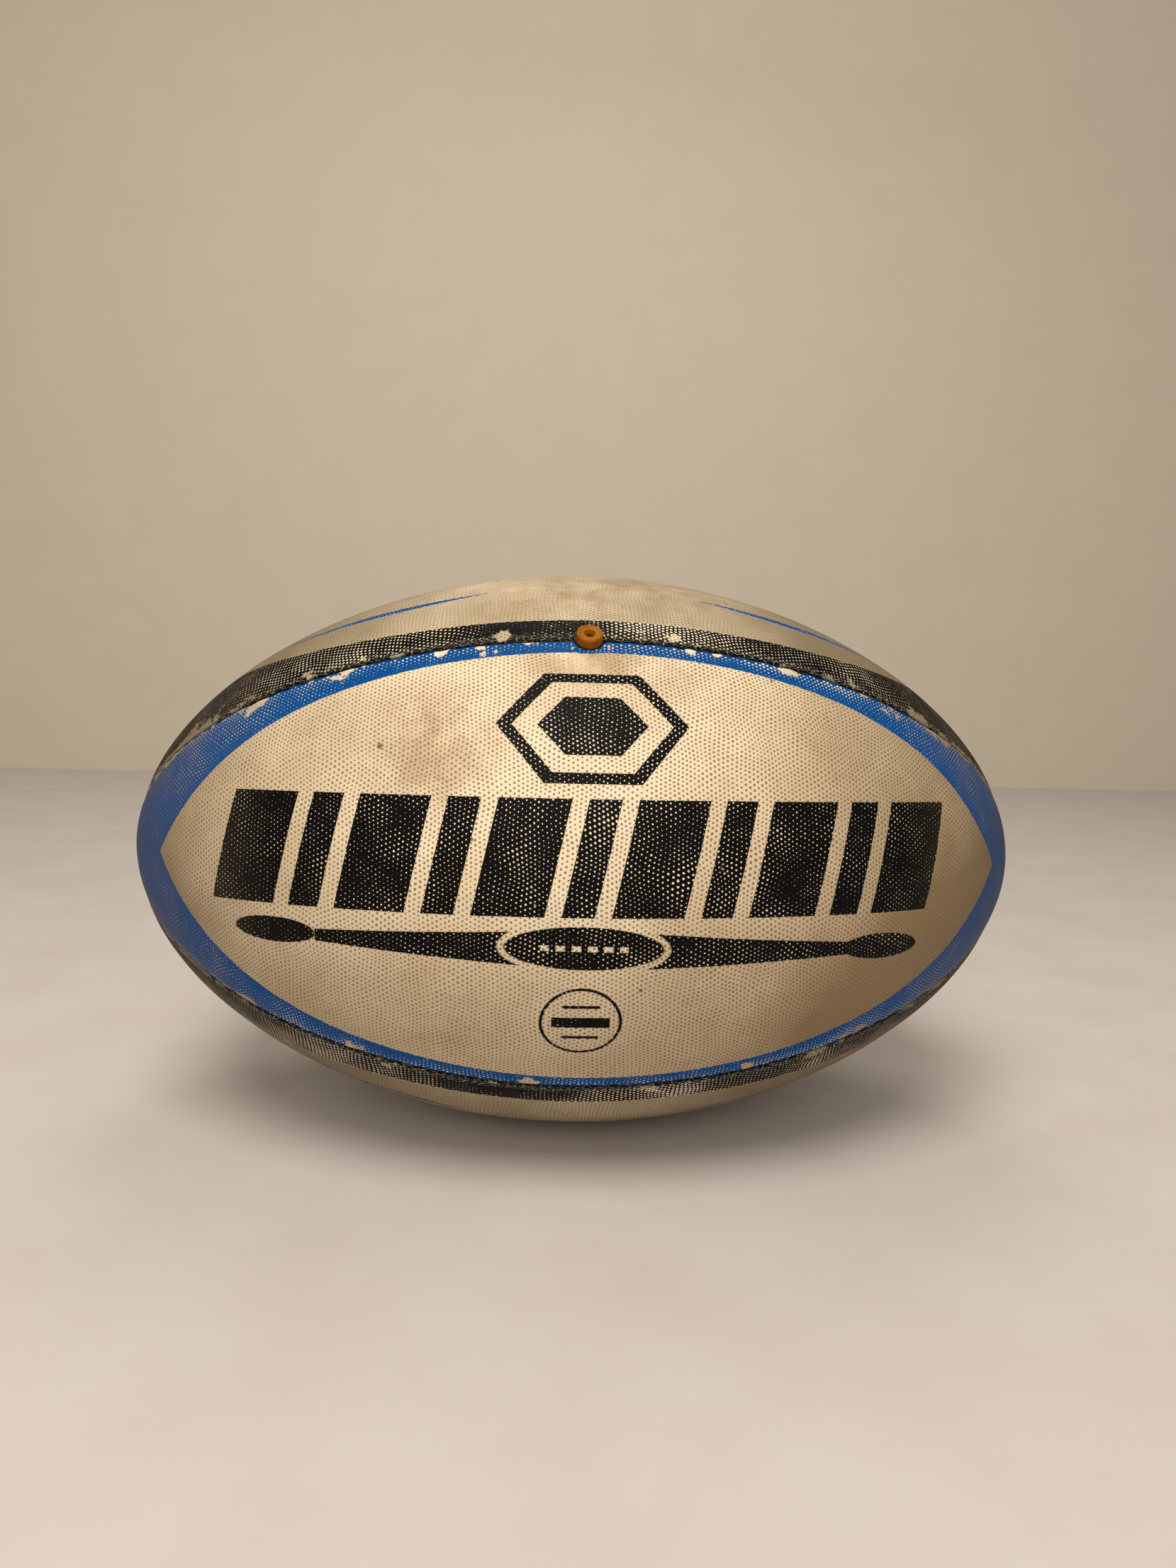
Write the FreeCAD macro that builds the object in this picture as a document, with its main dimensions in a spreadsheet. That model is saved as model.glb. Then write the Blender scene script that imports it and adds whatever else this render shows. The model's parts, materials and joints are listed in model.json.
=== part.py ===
"""Rugby ball: four pimpled rubber panels on fabric plies, stitched from the inside around a bladder with a valve.

Frame: origin at the ball's centre, +X along the ball to its right tip, +Z up, the front faces -Y.
Lengths are in millimetres. Angles run about +X, starting at +Y.
"""
import os
import re

import FreeCAD
import Part
import Sketcher
from FreeCAD import Placement, Rotation, Vector

DIMENSIONS = [
    ("half_length", 150, "centre to tip"),
    ("half_width", 93.5, "centre to the widest ring"),
    ("tip_handle", 0.718, "fullness of the tips, as a share of the half width"),
    ("belly_handle", 0.215, "flatness of the belly, as a share of the half length"),
    ("seam_start", 40.4, "angle of the seam behind the top panel, in degrees"),
    ("rubber", 1.1, "thickness of the pimpled rubber cover"),
    ("ply", 0.7, "thickness of one fabric ply"),
    ("glue_line", 0.05, "gap between glued or touching layers"),
    ("turn_depth", 6, "depth of the panel edges turned in at a seam"),
    ("tip_opening", 4, "radius round the length axis in which the turned-in edges are trimmed away"),
    ("groove_half_width", 1.6, "half width of the groove along a seam"),
    ("groove_depth", 1.3, "depth of that groove"),
    ("stitch_depth", 4.3, "depth of the seam thread below the surface"),
    ("stitch_pitch", 6.4, "distance between needle holes"),
    ("stitched_half_length", 141, "how far the stitches reach towards each tip"),
    ("thread_radius", 0.45, "radius of the waxed seam thread"),
    ("bladder_wall", 0.9, "thickness of the bladder"),
    ("patch_radius", 14, "radius of the valve patch and of the balance patch"),
    ("patch_thickness", 0.8, "thickness of the valve patch"),
    ("patch_drop", 0.7, "how far the ball's surface falls away at the rim of a patch"),
    ("balance_thickness", 2.4, "thickness of the balance patch"),
    ("flange_radius", 9, "radius of the valve housing's flange"),
    ("flange_thickness", 1.2, "thickness of that flange"),
    ("housing_radius", 3.9, "outer radius of the valve housing's tube"),
    ("housing_length", 19, "length of that tube"),
    ("housing_floor", 1.6, "thickness of the tube's closed end"),
    ("plug_radius", 2.45, "radius of the valve plug's stem"),
    ("plug_clearance", 0.05, "radial clearance between the stem and the housing"),
    ("plug_length", 15.5, "length of that stem"),
    ("head_radius", 3.9, "radius of the valve plug's head"),
    ("head_height", 3.3, "height of that head"),
    ("head_proud", 2.4, "how far the head stands above the covers"),
    ("head_rounding", 0.9, "radius on the head's top edge"),
    ("needle_radius", 1.1, "radius of the needle channel"),
    ("needle_depth", 12, "depth of the needle channel below the head's top"),
    ("mouth_radius", 1.6, "radius of the needle channel's flared mouth"),
    ("mouth_depth", 0.8, "depth of that flare"),
    ("valve_hole_radius", 4.3, "radius of the hole that the panels leave for the valve"),
    ("valve_along", -2, "place of the valve along the ball"),
]

# panels in order of angle; the valve is in the seam between the first two
PANELS = ["top", "front", "bottom", "back"]
PANEL_ANGLE = 90
HALF_PANEL = PANEL_ANGLE / 2
VALVE_EDGE = {"top": 1, "front": -1}
SPLINE_DEGREE = 5
POLE_COUNT = SPLINE_DEGREE + 1
BEYOND_BALL = 8

# depths below the ball's surface and distances from a seam plane, as formulas over the sheet
INSIDE_OF_PLIES = "rubber + 2 * ply + 3 * glue_line"
RIDGE_HALF_WIDTH = "rubber + 2 * ply + 2 * glue_line"
UNDER_SEAM = "turn_depth + glue_line"
ABOVE_PATCHES = f"{UNDER_SEAM} + patch_drop"
UNDER_PATCH = f"{ABOVE_PATCHES} + patch_thickness + glue_line"
UNDER_FLANGE = f"{UNDER_PATCH} + flange_thickness + glue_line"
UNDER_BALANCE = f"{ABOVE_PATCHES} + balance_thickness + glue_line"
HEAD_TOP = "half_width + head_proud"
HEAD_UNDERSIDE = "half_width + head_proud - head_height"

doc = FreeCAD.newDocument("rugby_ball")
sheet = doc.addObject("Spreadsheet::Sheet", "dimensions")
for row, (alias, value, meaning) in enumerate(DIMENSIONS, 1):
    sheet.set(f"A{row}", alias)
    sheet.set(f"B{row}", str(value))
    sheet.set(f"C{row}", meaning)
    sheet.setAlias(f"B{row}", alias)
doc.recompute()


def bind(target, path, formula):
    """Binds a property to a formula over the sheet's aliases."""
    aliases = {name for name, _, _ in DIMENSIONS}
    target.setExpression(
        path, re.sub(r"[a-z_]+", lambda word: ("<<dimensions>>." if word[0] in aliases else "") + word[0], formula)
    )


def origin_feature(body, role):
    return next(item for item in body.Origin.OriginFeatures if item.Role == role)


def new_body(name):
    body = doc.addObject("PartDesign::Body", name)
    body.Label = name
    return body


def new_sketch(body, name, turned=0, height="0", along="0"):
    """A sketch on the XY plane turned about X by so many degrees, then moved along its normal and along X."""
    sketch = body.newObject("Sketcher::SketchObject", name)
    sketch.AttachmentSupport = [(origin_feature(body, "XY_Plane"), "")]
    sketch.MapMode = "FlatFace"
    sketch.AttachmentOffset = Placement(Vector(0, 0, 0), Rotation(Vector(1, 0, 0), turned))
    bind(sketch, "AttachmentOffset.Base.x", along)
    bind(sketch, "AttachmentOffset.Base.y", f"-( {height} ) * sin( {turned} deg )")
    bind(sketch, "AttachmentOffset.Base.z", f"( {height} ) * cos( {turned} deg )")
    return sketch


def dimension(sketch, kind, points, formula, name):
    """Adds a named dimension to a sketch and binds it to the sheet."""
    index = sketch.addConstraint(Sketcher.Constraint(kind, *points, 1.0))
    sketch.renameConstraint(index, name)
    bind(sketch, f"Constraints.{name}", formula)


def meridian(sketch, depth, tag):
    """Half the ball's outline from tip to tip, at a depth below its surface, as one smooth curve."""
    first_guess = [(-150, 0), (-150, 67), (-32, 116), (32, 116), (150, 67), (150, 0)]
    poles = [Vector(x, y, 0) for x, y in first_guess]
    curve = sketch.addGeometry(Part.BSplineCurve(poles, None, None, False, SPLINE_DEGREE, None, False))
    sketch.exposeInternalGeometry(curve)
    pole = [(curve + 1 + number, 3) for number in range(POLE_COUNT)]
    for left in range(POLE_COUNT // 2):
        right = POLE_COUNT - 1 - left
        sketch.addConstraint(Sketcher.Constraint("Symmetric", *pole[left], *pole[right], -2))
    sketch.addConstraint(Sketcher.Constraint("PointOnObject", *pole[5], -1))
    sketch.addConstraint(Sketcher.Constraint("Vertical", *pole[4], *pole[5]))
    length = f"( half_length - ( {depth} ) )"
    width = f"( half_width - ( {depth} ) )"
    # the middle of the curve is at 10/32 of the tip handles' height plus 20/32 of the belly handles' height
    belly_height = f"( 32 - 10 * tip_handle ) / 20 * {width}"
    dimension(sketch, "DistanceX", (-1, 1, *pole[5]), length, tag + "_length")
    dimension(sketch, "DistanceY", (-1, 1, *pole[4]), f"tip_handle * {width}", tag + "_tip_handle")
    dimension(sketch, "DistanceX", (-1, 1, *pole[3]), f"belly_handle * {length}", tag + "_belly_handle")
    dimension(sketch, "DistanceY", (-1, 1, *pole[3]), belly_height, tag + "_belly_height")
    return curve


def crescent(sketch, outer_depth, inner_depth):
    """The strip between two meridians, closed on the length axis at both tips."""
    outer = meridian(sketch, outer_depth, "outer")
    inner = meridian(sketch, inner_depth, "inner")
    for end, side in ((1, -1), (2, 1)):
        line = sketch.addGeometry(Part.LineSegment(Vector(side * 150, 0, 0), Vector(side * 149, 0, 0)))
        sketch.addConstraint(Sketcher.Constraint("Coincident", line, 1, outer, end))
        sketch.addConstraint(Sketcher.Constraint("Coincident", line, 2, inner, end))


def half_oval(sketch, depth):
    """The region between one meridian and the length axis."""
    curve = meridian(sketch, depth, "outline")
    line = sketch.addGeometry(Part.LineSegment(Vector(-150, 0, 0), Vector(150, 0, 0)))
    sketch.addConstraint(Sketcher.Constraint("Coincident", line, 1, curve, 1))
    sketch.addConstraint(Sketcher.Constraint("Coincident", line, 2, curve, 2))


def rings(sketch, *radii):
    """Circles about the sketch's origin."""
    for number, radius in enumerate(radii):
        ring = sketch.addGeometry(Part.Circle(Vector(0, 0, 0), Vector(0, 0, 1), 10 - number))
        sketch.addConstraint(Sketcher.Constraint("Coincident", ring, 3, -1, 1))
        dimension(sketch, "Radius", (ring,), radius, f"ring_{number}")


def revolve(body, sketch, name, angle, axis="X_Axis"):
    feature = body.newObject("PartDesign::Revolution", name)
    feature.Profile = sketch
    feature.ReferenceAxis = (origin_feature(body, axis), [""])
    feature.Angle = angle
    return feature


def pad(body, sketch, name, length):
    feature = body.newObject("PartDesign::Pad", name)
    feature.Profile = sketch
    bind(feature, "Length", length)
    return feature


def pocket(body, sketch, name, length, outward=False, both_ways=False):
    """Cuts against the sketch's normal, along it when outward, or half the length each way."""
    feature = body.newObject("PartDesign::Pocket", name)
    feature.Profile = sketch
    bind(feature, "Length", length)
    feature.Reversed = outward
    feature.Midplane = both_ways
    return feature


def trim_tips(body, name, inside):
    """Clears a round space about the length axis at both tips, from so far below the surface inwards."""
    for tip, side in (("left", -1), ("right", 1)):
        place = body.newObject("Sketcher::SketchObject", f"{name}_{tip}_tip_profile")
        place.AttachmentSupport = [(origin_feature(body, "YZ_Plane"), "")]
        place.MapMode = "FlatFace"
        bind(place, "AttachmentOffset.Base.z", f"{side} * ( half_length - ( {inside} ) )")
        rings(place, "tip_opening")
        pocket(body, place, f"{name}_{tip}_tip", "turn_depth", outward=side < 0)


def bevel(body, name):
    """Bevels the panel edge on the seam plane, so that two panels leave a V groove between them."""
    deep = new_sketch(body, name + "_deep", HALF_PANEL, "-groove_half_width")
    crescent(deep, f"-{BEYOND_BALL}", "2 * groove_depth")
    edge = new_sketch(body, name + "_edge", HALF_PANEL, "groove_half_width")
    crescent(edge, f"-{BEYOND_BALL}", "0")
    cutter = body.newObject("PartDesign::SubtractiveLoft", name)
    cutter.Profile = deep
    cutter.Sections = [edge]
    cutter.Ruled = True
    return cutter


def panel_layer(kind, panel, depth, thickness, inset, bevelled=False):
    """One layer of a panel: a quarter shell about its own +Z, with both long edges turned in along the seams.

    depth is how far the layer lies below the ball's surface, and inset how far it keeps from the seam planes.
    """
    name = f"{kind}_{panel}"
    body = new_body(name)
    shell = new_sketch(body, name + "_shell_profile", HALF_PANEL)
    crescent(shell, depth, f"{depth} + {thickness}")
    revolve(body, shell, name + "_shell", PANEL_ANGLE)
    edge_features = []
    if inset != "0":
        strip = new_sketch(body, name + "_strip_profile", HALF_PANEL)
        crescent(strip, f"-{BEYOND_BALL}", f"turn_depth + {BEYOND_BALL}")
        edge_features.append(pocket(body, strip, name + "_strip", inset, outward=True))
    turn = new_sketch(body, name + "_turn_profile", HALF_PANEL, inset)
    crescent(turn, f"{depth} + {thickness} / 2", "turn_depth")
    edge_features.append(pad(body, turn, name + "_turn", thickness))
    if bevelled:
        edge_features.append(bevel(body, name + "_bevel"))
    mirror = body.newObject("PartDesign::Mirrored", name + "_both_edges")
    mirror.Originals = edge_features
    mirror.MirrorPlane = (origin_feature(body, "XZ_Plane"), [""])
    body.Tip = mirror
    trim_tips(body, name, f"{depth} + {thickness}")
    if panel in VALVE_EDGE:
        hole = new_sketch(body, name + "_valve_hole_profile", VALVE_EDGE[panel] * HALF_PANEL, along="valve_along")
        rings(hole, "valve_hole_radius")
        pocket(body, hole, name + "_valve_hole", "3 * half_width", both_ways=True)
    body.Placement = Placement(Vector(0, 0, 0), Rotation(Vector(1, 0, 0), 1))
    turned = PANELS.index(panel) * PANEL_ANGLE - HALF_PANEL
    bind(body, "Placement.Rotation.Angle", f"( seam_start + {turned} ) * 1 deg")
    return body


def turn_to_seams(body):
    """Turns a body about X so that its +Z points out through the valve."""
    body.Placement = Placement(Vector(0, 0, 0), Rotation(Vector(1, 0, 0), 1))
    bind(body, "Placement.Rotation.Angle", "seam_start * 1 deg")
    return body


def dent(body, name, radius, depth, side):
    """A flat-bottomed round recess, side 1 at the valve and side -1 opposite it."""
    place = new_sketch(body, name + "_profile", 0, f"{side} * ( half_width - ( {depth} ) )", "valve_along")
    rings(place, radius)
    pocket(body, place, name, f"half_width + {BEYOND_BALL}", outward=side > 0)


def bladder_form(name, extra):
    """The solid inside the plies, pressed in around the seams, the valve and the balance patch."""
    body = new_body(name)
    outline = new_sketch(body, name + "_outline")
    half_oval(outline, f"{INSIDE_OF_PLIES} + {extra}")
    revolve(body, outline, name + "_oval", 360)
    channel = new_sketch(body, name + "_channel_profile")
    crescent(channel, f"-{BEYOND_BALL}", f"{UNDER_SEAM} + {extra}")
    width = f"2 * ( {RIDGE_HALF_WIDTH} + 2 * thread_radius + glue_line + {extra} )"
    cut = pocket(body, channel, name + "_channel", width, both_ways=True)
    pattern = body.newObject("PartDesign::PolarPattern", name + "_channels")
    pattern.Originals = [cut]
    pattern.Axis = (origin_feature(body, "X_Axis"), [""])
    pattern.Angle = 360
    pattern.Occurrences = len(PANELS)
    body.Tip = pattern
    dent(body, name + "_under_patch", f"patch_radius + glue_line + {extra}", f"{UNDER_PATCH} + {extra}", 1)
    dent(body, name + "_under_flange", f"flange_radius + glue_line + {extra}", f"{UNDER_FLANGE} + {extra}", 1)
    dent(body, name + "_under_balance", f"patch_radius + glue_line + {extra}", f"{UNDER_BALANCE} + {extra}", -1)
    return turn_to_seams(body)


def make_bladder():
    outside = bladder_form("bladder_outside", "0")
    dent(outside, "bladder_tube_hole", "housing_radius + glue_line", "half_width / 2", 1)
    inside = bladder_form("bladder_inside", "bladder_wall")
    bladder = doc.addObject("Part::Cut", "bladder")
    bladder.Base = outside
    bladder.Tool = inside
    return bladder


def make_disc(name, bottom, thickness, *radii):
    """A flat disc or ring about the valve axis."""
    body = new_body(name)
    profile = new_sketch(body, name + "_profile", 0, bottom, "valve_along")
    rings(profile, *radii)
    pad(body, profile, name + "_disc", thickness)
    return turn_to_seams(body)


def make_housing():
    """The rubber tube that is bonded to the bladder by its flange and closed at its inner end."""
    body = new_body("valve_housing")
    flange = new_sketch(body, "flange_profile", 0, f"half_width - ( {UNDER_FLANGE} ) + glue_line", "valve_along")
    rings(flange, "flange_radius")
    pad(body, flange, "flange", "flange_thickness")
    top = f"{HEAD_UNDERSIDE} - glue_line"
    tube = new_sketch(body, "tube_profile", 0, f"{top} - housing_length", "valve_along")
    rings(tube, "housing_radius")
    pad(body, tube, "tube", "housing_length")
    bore = new_sketch(body, "bore_profile", 0, top, "valve_along")
    rings(bore, "plug_radius + plug_clearance")
    pocket(body, bore, "bore", "housing_length - housing_floor")
    return turn_to_seams(body)


def make_plug():
    """The pull-out valve plug: a round head on a straight stem, with a blind needle channel flared at its mouth."""
    body = new_body("valve_plug")
    stem = new_sketch(body, "stem_profile", 0, f"{HEAD_UNDERSIDE} - plug_length", "valve_along")
    rings(stem, "plug_radius")
    pad(body, stem, "stem", "plug_length + head_height / 2")
    head = new_sketch(body, "head_profile", 0, HEAD_UNDERSIDE, "valve_along")
    rings(head, "head_radius")
    head_pad = pad(body, head, "head", "head_height")
    doc.recompute()
    rim = top_edge(head_pad)
    rounding = body.newObject("PartDesign::Fillet", "head_rounding")
    rounding.Base = (head_pad, [rim])
    bind(rounding, "Radius", "head_rounding")
    channel = new_sketch(body, "needle_profile", 0, HEAD_TOP, "valve_along")
    rings(channel, "needle_radius")
    pocket(body, channel, "needle_channel", "needle_depth")
    mouth = new_sketch(body, "mouth_profile", 0, HEAD_TOP, "valve_along")
    rings(mouth, "mouth_radius")
    throat = new_sketch(body, "throat_profile", 0, f"{HEAD_TOP} - mouth_depth", "valve_along")
    rings(throat, "needle_radius")
    flare = body.newObject("PartDesign::SubtractiveLoft", "needle_mouth")
    flare.Profile = mouth
    flare.Sections = [throat]
    flare.Ruled = True
    return turn_to_seams(body)


def top_edge(feature):
    """The name of a feature's highest edge along its own Z."""
    edges = feature.Shape.Edges
    highest = max(range(len(edges)), key=lambda number: edges[number].BoundBox.ZMin)
    return f"Edge{highest + 1}"


def stitch_points():
    """The needle holes of one seam, evenly spaced along the meridian at the stitches' depth."""
    length = sheet.half_length - sheet.stitch_depth
    width = sheet.half_width - sheet.stitch_depth
    belly_height = (32 - 10 * sheet.tip_handle) / 20 * width
    half = [(length, 0), (length, sheet.tip_handle * width), (sheet.belly_handle * length, belly_height)]
    curve = Part.BezierCurve()
    curve.setPoles([Vector(-x, y, 0) for x, y in half] + [Vector(x, y, 0) for x, y in reversed(half)])
    holes = round(curve.length() / sheet.stitch_pitch)
    points = curve.toShape().discretize(Number=holes)
    return [point for point in points if abs(point.x) < sheet.stitched_half_length]


def make_stitch(here, there, side):
    """One stitch: through the turned-in edges at a needle hole, round a bend, and along one side to the next hole."""
    radius = sheet.thread_radius
    bend = 2 * radius
    across = Vector(0, 0, side)
    along = (there - here).normalize()
    to_side = across * (sheet.rubber + 2 * sheet.ply + 2 * sheet.glue_line + radius)
    start = here - to_side
    bend_centre = here + to_side + (along - across) * bend
    bend_start = bend_centre - along * bend
    bend_middle = bend_centre + (across - along).normalize() * bend
    bend_end = bend_centre + across * bend
    end = there + to_side - along * radius
    bend_arc = Part.Arc(bend_start, bend_middle, bend_end)
    runs = [Part.makeLine(start, bend_start), bend_arc.toShape(), Part.makeLine(bend_end, end)]
    section = Part.Wire(Part.makeCircle(radius, start, across))
    return Part.Wire(runs).makePipeShell([section], True, True)


def crosses_valve(here, there):
    """Whether a stitch of the valve's seam would run through the hole that the panels leave for the valve."""
    clear = sheet.valve_hole_radius + 4 * sheet.thread_radius
    return here.x < sheet.valve_along + clear and there.x > sheet.valve_along - clear


def make_thread(first, second, angle):
    """The waxed thread of one seam, as one solid for each stitch, with none across the valve."""
    points = stitch_points()
    valve_seam = {first, second} == set(VALVE_EDGE)
    stitches = []
    for number, (here, there) in enumerate(zip(points, points[1:])):
        if not (valve_seam and crosses_valve(here, there)):
            stitches.append(make_stitch(here, there, 1 if number % 2 else -1))
    thread = doc.addObject("Part::Feature", f"thread_{first}_{second}")
    thread.Label = f"thread_{first}_{second}"
    thread.Shape = Part.makeCompound(stitches)
    thread.Placement = Placement(Vector(0, 0, 0), Rotation(Vector(1, 0, 0), angle))
    return thread


def make_pieces():
    pieces = []
    second_ply = "rubber + ply + 2 * glue_line"
    for panel in PANELS:
        pieces.append(panel_layer("cover", panel, "0", "rubber", "0", bevelled=True))
        pieces.append(panel_layer("outer_ply", panel, "rubber + glue_line", "ply", "rubber + glue_line"))
        pieces.append(panel_layer("inner_ply", panel, second_ply, "ply", second_ply))
    for number, panel in enumerate(PANELS):
        following = PANELS[(number + 1) % len(PANELS)]
        angle = sheet.seam_start + (number + 1) * PANEL_ANGLE
        pieces.append(make_thread(panel, following, angle))
    pieces.append(make_bladder())
    patch_bottom = f"half_width - ( {UNDER_PATCH} ) + glue_line"
    hole = "housing_radius + glue_line"
    pieces.append(make_disc("valve_patch", patch_bottom, "patch_thickness", "patch_radius", hole))
    balance_bottom = f"-( half_width - ( {ABOVE_PATCHES} ) )"
    pieces.append(make_disc("balance_patch", balance_bottom, "balance_thickness", "patch_radius"))
    pieces.append(make_housing())
    pieces.append(make_plug())
    return pieces


def check(pieces):
    """Stops at a failed feature, or at a piece with no sound solid."""
    failed = [item.Name for item in doc.Objects if {"Invalid", "Error"} & set(item.State)]
    if failed:
        raise RuntimeError(f"failed features: {failed}")
    for piece in pieces:
        shape = piece.Shape
        if shape.isNull() or not shape.isValid() or not shape.Solids:
            raise RuntimeError(f"{piece.Label} is not a sound solid")


def export(pieces):
    os.makedirs("parts", exist_ok=True)
    for piece in pieces:
        piece.Shape.exportStep(f"parts/{piece.Label}.step")


parts = make_pieces()
doc.recompute()
check(parts)
export(parts)
for part in parts:
    print(f"{part.Label}: {len(part.Shape.Solids)} solids, {part.Shape.Volume / 1000:.2f} cubic centimetres")
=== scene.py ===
"""Rugby ball: the looks of the panels, the valve and the layers inside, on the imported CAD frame.

Lengths are in millimetres until a mesh is written, which is in metres. On a panel, along is the
distance from the ball's middle towards the right tip, across is the distance over the surface from
the panel's mid-line, and edge is the distance from the nearer seam. In the panels' grid, u is the
distance over the surface from the ball's middle, and v is the same as across. Angles round the ball
start at the front and run over the top.
"""

import json
import math

import bmesh
import bpy
import numpy as np
from mathutils import Matrix, Vector


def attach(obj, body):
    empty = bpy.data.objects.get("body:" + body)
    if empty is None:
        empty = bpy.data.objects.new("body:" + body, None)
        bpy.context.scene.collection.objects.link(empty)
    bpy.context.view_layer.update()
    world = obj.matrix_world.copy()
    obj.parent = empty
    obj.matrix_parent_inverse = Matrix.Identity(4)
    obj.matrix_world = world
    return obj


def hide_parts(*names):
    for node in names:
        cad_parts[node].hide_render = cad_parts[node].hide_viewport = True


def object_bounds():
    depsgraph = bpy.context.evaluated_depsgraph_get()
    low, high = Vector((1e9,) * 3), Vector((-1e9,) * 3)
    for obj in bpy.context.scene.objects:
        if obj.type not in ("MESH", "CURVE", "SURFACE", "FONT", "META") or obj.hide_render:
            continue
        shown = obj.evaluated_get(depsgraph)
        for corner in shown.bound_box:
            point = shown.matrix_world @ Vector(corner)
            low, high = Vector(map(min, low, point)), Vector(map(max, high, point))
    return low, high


MM = 0.001

# the ball's outline: a smooth curve through the belly and both tips, as in the CAD part
HALF_LENGTH = 150.0
HALF_WIDTH = 93.5
TIP_HANDLE = 0.718
BELLY_HANDLE = 0.215
UNDER_CAD_SURFACE = 0.08
OUTLINE_POINTS = 20001

# panels, by the angle of their mid-lines
PANEL_ANGLES = {"front": 4.6, "top": 94.6, "back": 184.6, "bottom": -85.4}
HALF_PANEL = math.pi / 4
VALVE_SEAM_SIDE = {"front": 1, "top": -1}
VALVE_ALONG = -2.0
PANEL_SEED = 11
SEAM_SEED = 100

# pimples, and how far their places and heights stray from a regular grid
PITCH = 1.40
RELIEF = 0.17
DRIFT = 0.45
DRIFT_LENGTH = 17.0
JITTER = 0.055
PIMPLE_SPREAD = 0.07

# panel edges, which are rolled in at the seams and turned in below them
FOLD_RADIUS = 1.1
FOLD_STEPS = 5
SEAM_GAP = 0.03
RUBBER = 1.1
TURN_DEPTH = 6.0
STITCH_PITCH = 6.4
SEAM_WAVE = 0.28
FIRST_COLUMN_WIDTH = 0.15
INNER_STEP = 2.4
INNER_ROWS = 21

# dips of the surface, as depths and the distances over which they fade
SEAM_DIP = 0.5
SEAM_DIP_REACH = 4.5
STITCH_DIP = 0.16
STITCH_DIP_REACH = 2.6
BROAD_DIP = 0.10
BROAD_DIP_LENGTH = 38.0

# the hole for the valve, which both panels at its seam draw back from, and the creases round it
HOLE_RADIUS = 4.0
HOLE_HALF_LENGTH = 4.5
HOLE_SPREAD = 12.0
HOLE_ROUNDNESS = 0.6
CREASE_DEPTH = 0.22
CREASE_REACH = 15.0
CREASES_PER_TURN = 11


# ---------------------------------------------------------------- the ball's surface


class Outline:
    """The meridian from tip to tip: place, radius and outward normal by the distance along it."""

    def __init__(self):
        share = np.linspace(0, 1, OUTLINE_POINTS)[:, None]
        belly = (32 - 10 * TIP_HANDLE) / 20
        left = [(-1, 0), (-1, TIP_HANDLE), (-BELLY_HANDLE, belly)]
        poles = np.array(left + [(-x, y) for x, y in reversed(left)]) * (HALF_LENGTH, HALF_WIDTH)
        curve = sum(math.comb(5, k) * share**k * (1 - share) ** (5 - k) * poles[k] for k in range(6))
        steps = np.hypot(*np.diff(curve, axis=0).T)
        self.distance = np.concatenate([[0], np.cumsum(steps)])
        self.distance -= self.distance[-1] / 2
        self.x, self.r = curve.T
        slope_x = np.gradient(self.x, self.distance)
        slope_r = np.gradient(self.r, self.distance)
        size = np.hypot(slope_x, slope_r)
        self.normal_x = -slope_r / size
        self.normal_r = slope_x / size

    def at(self, u, values):
        return np.interp(u, self.distance, values)

    def radius(self, u):
        return self.at(u, self.r)

    def half_panel(self, u):
        return self.radius(u) * HALF_PANEL

    def place(self, u, theta, depth, mid_angle):
        """Points by distance along the meridian, angle from a panel's mid-line and depth."""
        x = self.at(u, self.x) - depth * self.at(u, self.normal_x)
        r = np.maximum(self.radius(u) - depth * self.at(u, self.normal_r), 0.01)
        angle = math.radians(mid_angle) + theta
        return np.stack([x, -r * np.cos(angle), r * np.sin(angle)], axis=-1)


def smooth_noise(rng, a, b, wavelength, waves=7):
    """A gentle, random field over two coordinates, between about -1 and 1."""
    total = np.zeros(np.shape(a))
    for _ in range(waves):
        heading, phase = rng.uniform(0, 2 * math.pi, 2)
        stretch = rng.uniform(0.7, 1.4)
        k = 2 * math.pi / (wavelength * stretch)
        total += np.sin(k * (a * math.cos(heading) + b * math.sin(heading)) + phase)
    return total / math.sqrt(waves)


def zip_rows(first, first_keys, second, second_keys):
    """Triangles between two rows of points that run side by side, each sorted by its keys."""
    first_mids = (first_keys[1:] + first_keys[:-1]) / 2
    second_mids = (second_keys[1:] + second_keys[:-1]) / 2
    order = np.argsort(np.concatenate([first_mids, second_mids]), kind="stable")
    step_first = order < len(first_mids)
    i = np.concatenate([[0], np.cumsum(step_first)[:-1]]).astype(int)
    j = np.concatenate([[0], np.cumsum(~step_first)[:-1]]).astype(int)
    next_first = first[np.minimum(i + 1, len(first) - 1)]
    next_second = second[np.minimum(j + 1, len(second) - 1)]
    third = np.where(step_first, next_first, next_second)
    return np.stack([first[i], second[j], third], axis=1)


def fan(ring):
    """Triangles from a ring's first point to each of its other sides."""
    return np.stack([np.full(len(ring) - 2, ring[0]), ring[1:-1], ring[2:]], 1)


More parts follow.
